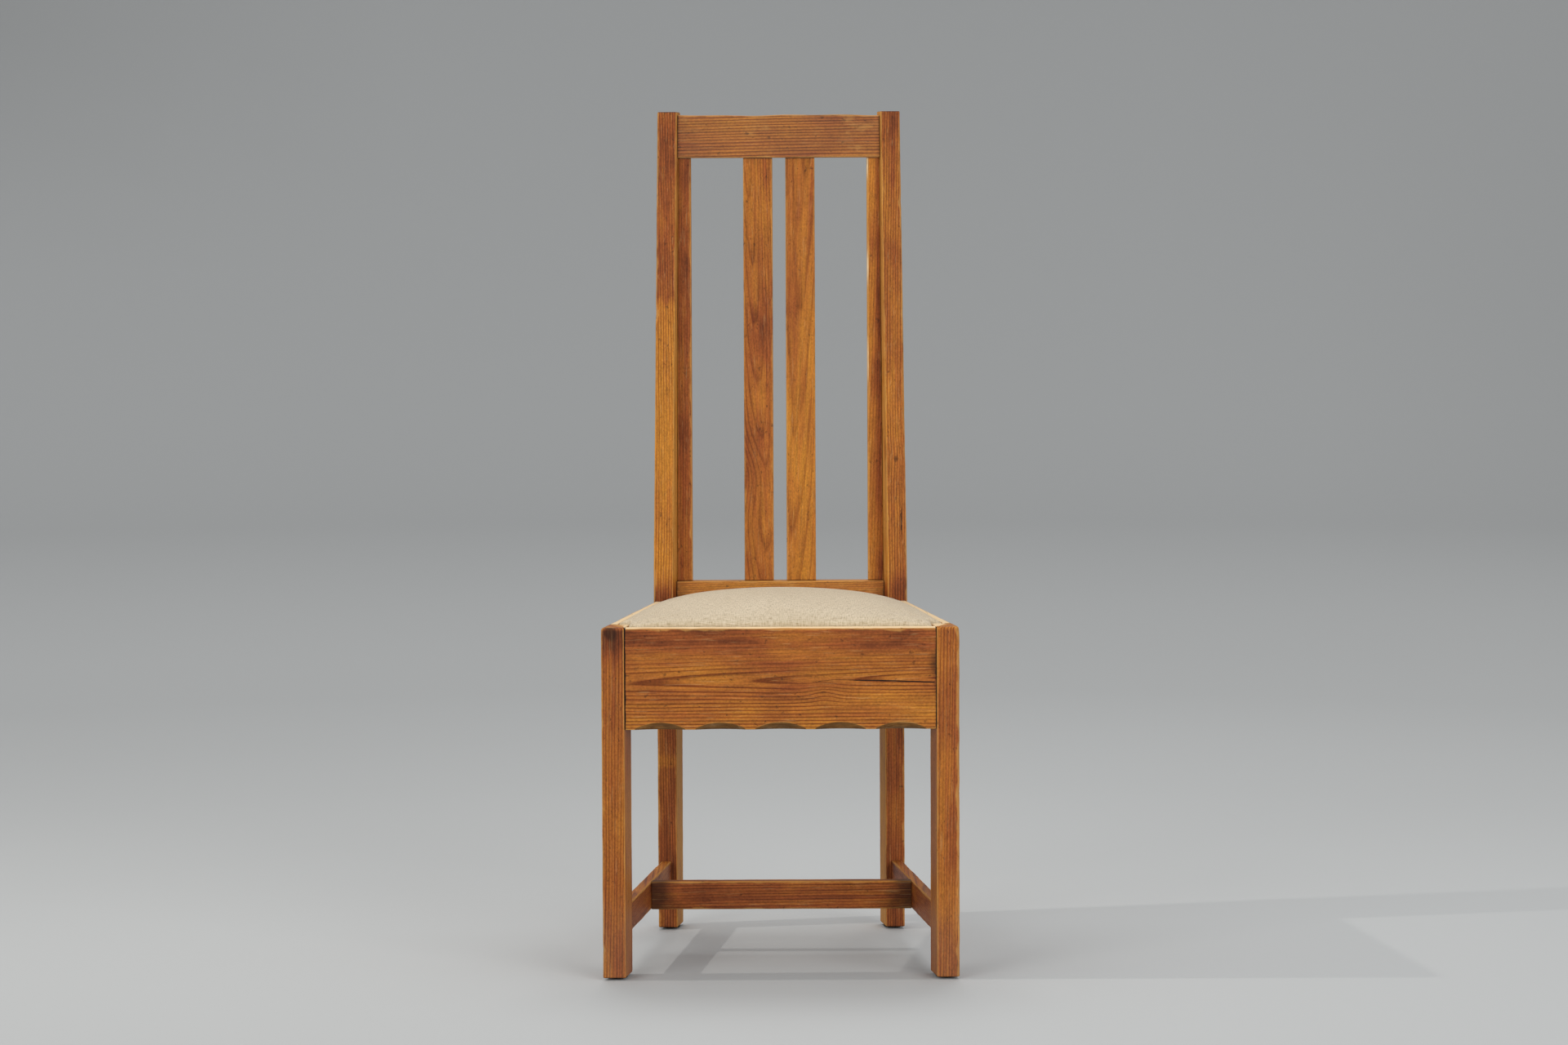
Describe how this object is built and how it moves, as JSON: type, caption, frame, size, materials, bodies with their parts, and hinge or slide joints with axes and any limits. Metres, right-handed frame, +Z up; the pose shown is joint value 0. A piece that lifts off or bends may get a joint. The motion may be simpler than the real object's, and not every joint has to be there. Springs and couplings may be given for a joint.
{
  "type": "art nouveau chair",
  "caption": "Tall-backed pine side chair with raked slatted back, scalloped front apron, H stretchers and a loose upholstered seat that lifts out of its rebate.",
  "frame": {"origin": "on the floor under the middle of the chair's bounding box", "axes": "+Z up, the chair's front faces -Y, +X to the right as seen from the front"},
  "size_m": [0.4534, 0.455, 1.108],
  "materials": {
    "stained_pine": "worn satin shellac",
    "raw_softwood": "raw",
    "black_glide": "matt",
    "steel": "dulled",
    "jute_webbing": "woven",
    "hessian": "woven",
    "stuffing": "felted",
    "linen": "woven"
  },
  "bodies": {
    "frame": {"front_leg_left": "stained_pine", "front_leg_right": "stained_pine", "rear_post_left": "stained_pine", "rear_post_right": "stained_pine", "front_apron": "stained_pine", "side_rail_left": "stained_pine", "side_rail_right": "stained_pine", "rear_rail": "stained_pine", "crest_rail": "stained_pine", "back_slat_left": "stained_pine", "back_slat_right": "stained_pine", "side_slat_left": "stained_pine", "side_slat_right": "stained_pine", "side_stretcher_left": "stained_pine", "side_stretcher_right": "stained_pine", "cross_stretcher": "stained_pine", "corner_block_front_left": "raw_softwood", "corner_block_front_right": "raw_softwood", "corner_block_rear_left": "raw_softwood", "corner_block_rear_right": "raw_softwood", "corner_block_screws": "steel", "glide_front_left": "black_glide", "glide_front_right": "black_glide", "glide_rear_left": "black_glide", "glide_rear_right": "black_glide"},
    "seat": {"seat_frame_front": "raw_softwood", "seat_frame_rear": "raw_softwood", "seat_frame_left": "raw_softwood", "seat_frame_right": "raw_softwood", "webbing_lengthwise": "jute_webbing", "webbing_crosswise": "jute_webbing", "seat_hessian": "hessian", "seat_stuffing": "stuffing", "seat_cover": "linen", "cover_tacks": "steel"}
  },
  "joints": [
    {"name": "seat_lift", "type": "slide", "parent": "frame", "child": "seat", "axis": [0, 0, 1], "range_m": [0, 0.15]}
  ]
}
